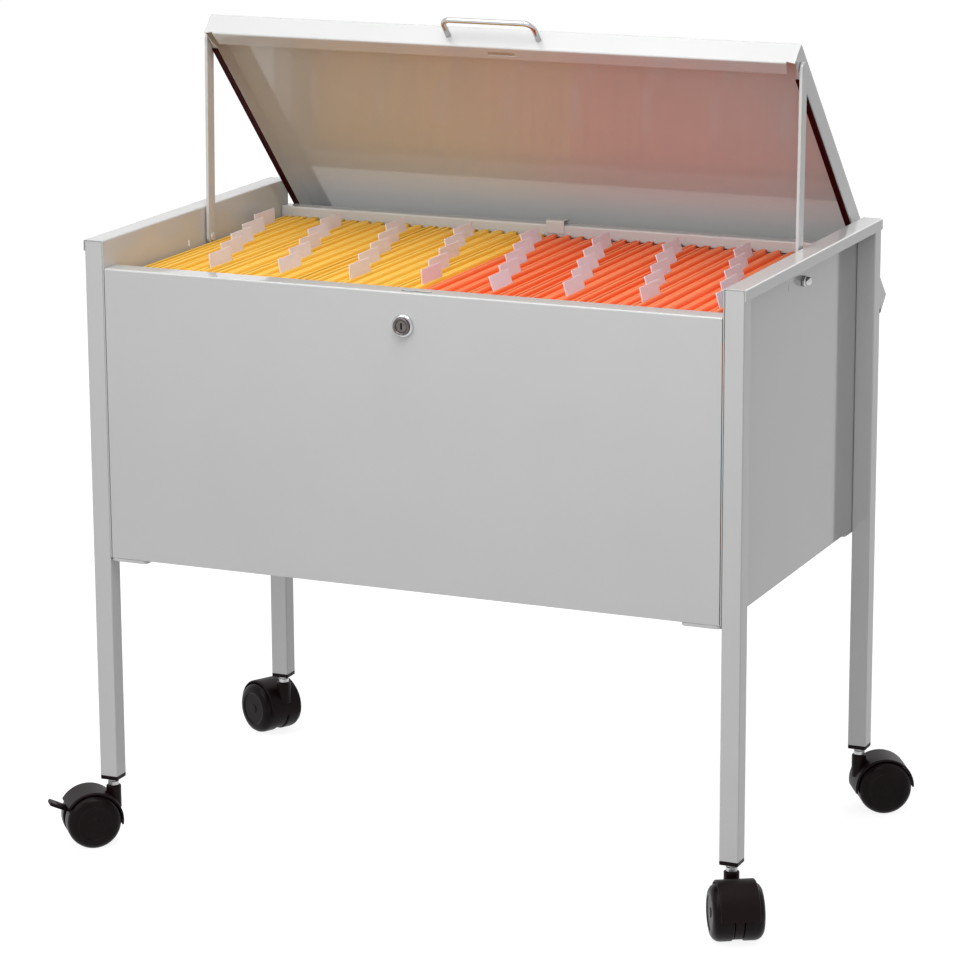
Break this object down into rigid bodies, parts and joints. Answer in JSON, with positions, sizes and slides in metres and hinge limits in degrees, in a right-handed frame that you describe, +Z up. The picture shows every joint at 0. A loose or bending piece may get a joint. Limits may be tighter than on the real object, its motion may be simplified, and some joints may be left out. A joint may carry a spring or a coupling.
{
  "type": "mobile file cart",
  "caption": "Sheet-steel filing cart on twin-wheel casters, with a lockable lift-up lid on swinging stays over an open bin of hanging files.",
  "frame": {"origin": "on the floor, under the middle of the four legs", "axes": "+Z up, -Y out of the front panel with the lock, +X to the right seen from the front; the lid is open at rest"},
  "size_m": [0.7747, 0.5533, 0.8237],
  "materials": {
    "grey_paint": "satin",
    "black_plastic": "satin",
    "black_glide": "satin",
    "bright_steel": "polished",
    "zinc_steel": "satin",
    "yellow_card": "matte",
    "orange_card": "matte"
  },
  "bodies": {
    "frame": {"leg_front_left": "grey_paint", "leg_front_right": "grey_paint", "leg_rear_right": "grey_paint", "leg_rear_left": "grey_paint", "plug_front_left": "black_plastic", "plug_front_right": "black_plastic", "plug_rear_right": "black_plastic", "plug_rear_left": "black_plastic", "bracket_front_left": "grey_paint", "bracket_front_right": "grey_paint", "bracket_rear_right": "grey_paint", "bracket_rear_left": "grey_paint", "side_panel_left": "grey_paint", "side_panel_right": "grey_paint", "front_panel": "grey_paint", "rear_panel": "grey_paint", "bin_floor": "grey_paint", "file_rail_front": "zinc_steel", "file_rail_rear": "zinc_steel", "rear_clip": "zinc_steel", "lock_housing": "bright_steel", "pivot_bolt_left": "bright_steel", "pivot_bolt_right": "bright_steel", "yellow_files_1": "yellow_card", "yellow_files_2": "yellow_card", "yellow_files_3": "yellow_card", "yellow_files_4": "yellow_card", "orange_files_1": "orange_card", "orange_files_2": "orange_card", "orange_files_3": "orange_card", "orange_files_4": "orange_card"},
    "lock": {"lock_plug": "bright_steel", "lock_cam": "zinc_steel"},
    "left_stay": {"stay_left": "zinc_steel"},
    "right_stay": {"stay_right": "zinc_steel"},
    "lid_assembly": {"lid": "grey_paint", "handle": "bright_steel", "glide_strip_left": "black_glide", "glide_strip_right": "black_glide"},
    "front_left_caster": {"front_left_hood": "black_plastic", "front_left_stem": "zinc_steel", "front_left_axle": "zinc_steel"},
    "front_left_roller_1": {"front_left_wheel_1": "black_plastic"},
    "front_left_roller_2": {"front_left_wheel_2": "black_plastic"},
    "front_left_brake": {"front_left_brake_lever": "black_plastic"},
    "front_right_caster": {"front_right_hood": "black_plastic", "front_right_stem": "zinc_steel", "front_right_axle": "zinc_steel"},
    "front_right_roller_1": {"front_right_wheel_1": "black_plastic"},
    "front_right_roller_2": {"front_right_wheel_2": "black_plastic"},
    "rear_right_caster": {"rear_right_hood": "black_plastic", "rear_right_stem": "zinc_steel", "rear_right_axle": "zinc_steel"},
    "rear_right_roller_1": {"rear_right_wheel_1": "black_plastic"},
    "rear_right_roller_2": {"rear_right_wheel_2": "black_plastic"},
    "rear_left_caster": {"rear_left_hood": "black_plastic", "rear_left_stem": "zinc_steel", "rear_left_axle": "zinc_steel"},
    "rear_left_roller_1": {"rear_left_wheel_1": "black_plastic"},
    "rear_left_roller_2": {"rear_left_wheel_2": "black_plastic"}
  },
  "joints": [
    {"name": "lid_lift", "type": "hinge", "parent": "frame", "child": "left_stay", "pos_m": [-0.3164, 0.0175, 0.585], "axis": [1, 0, 0], "range_deg": [0, 87.85]},
    {"name": "right_stay_swing", "type": "hinge", "parent": "frame", "child": "right_stay", "pos_m": [0.3164, 0.0175, 0.585], "axis": [1, 0, 0], "range_deg": [0, 87.9]},
    {"name": "lid_tilt", "type": "hinge", "parent": "left_stay", "child": "lid_assembly", "pos_m": [-0.3164, 0.0228, 0.78734], "axis": [1, 0, 0], "range_deg": [-41.8, 0]},
    {"name": "lock_turn", "type": "hinge", "parent": "frame", "child": "lock", "pos_m": [0, -0.2015, 0.558], "axis": [0, -1, 0], "range_deg": [0, 90]},
    {"name": "front_left_swivel", "type": "hinge", "parent": "frame", "child": "front_left_caster", "pos_m": [-0.3305, -0.192, 0.063], "axis": [0, 0, 1], "continuous": true},
    {"name": "front_left_roll_1", "type": "hinge", "parent": "front_left_caster", "child": "front_left_roller_1", "pos_m": [-0.34889, -0.20743, 0.0275], "axis": [0.6428, -0.766, 0], "continuous": true},
    {"name": "front_left_roll_2", "type": "hinge", "parent": "front_left_caster", "child": "front_left_roller_2", "pos_m": [-0.34889, -0.20743, 0.0275], "axis": [0.6428, -0.766, 0], "continuous": true},
    {"name": "brake_press", "type": "hinge", "parent": "front_left_caster", "child": "front_left_brake", "pos_m": [-0.36256, -0.2189, 0.03583], "axis": [0.6428, -0.766, 0], "range_deg": [0, 18]},
    {"name": "front_right_swivel", "type": "hinge", "parent": "frame", "child": "front_right_caster", "pos_m": [0.3305, -0.192, 0.063], "axis": [0, 0, 1], "continuous": true},
    {"name": "front_right_roll_1", "type": "hinge", "parent": "front_right_caster", "child": "front_right_roller_1", "pos_m": [0.3425, -0.21279, 0.0275], "axis": [0.866, 0.5, 0], "continuous": true},
    {"name": "front_right_roll_2", "type": "hinge", "parent": "front_right_caster", "child": "front_right_roller_2", "pos_m": [0.3425, -0.21279, 0.0275], "axis": [0.866, 0.5, 0], "continuous": true},
    {"name": "rear_right_swivel", "type": "hinge", "parent": "frame", "child": "rear_right_caster", "pos_m": [0.3305, 0.192, 0.063], "axis": [0, 0, 1], "continuous": true},
    {"name": "rear_right_roll_1", "type": "hinge", "parent": "rear_right_caster", "child": "rear_right_roller_1", "pos_m": [0.35129, 0.204, 0.0275], "axis": [-0.5, 0.866, 0], "continuous": true},
    {"name": "rear_right_roll_2", "type": "hinge", "parent": "rear_right_caster", "child": "rear_right_roller_2", "pos_m": [0.35129, 0.204, 0.0275], "axis": [-0.5, 0.866, 0], "continuous": true},
    {"name": "rear_left_swivel", "type": "hinge", "parent": "frame", "child": "rear_left_caster", "pos_m": [-0.3305, 0.192, 0.063], "axis": [0, 0, 1], "continuous": true},
    {"name": "rear_left_roll_1", "type": "hinge", "parent": "rear_left_caster", "child": "rear_left_roller_1", "pos_m": [-0.35169, 0.20327, 0.0275], "axis": [-0.4695, -0.8829, 0], "continuous": true},
    {"name": "rear_left_roll_2", "type": "hinge", "parent": "rear_left_caster", "child": "rear_left_roller_2", "pos_m": [-0.35169, 0.20327, 0.0275], "axis": [-0.4695, -0.8829, 0], "continuous": true}
  ],
  "couplings": [
    {"joint": "right_stay_swing", "follows": "lid_lift", "ratio": 1},
    {"joint": "lid_tilt", "follows": "lid_lift", "ratio": -0.47479}
  ]
}
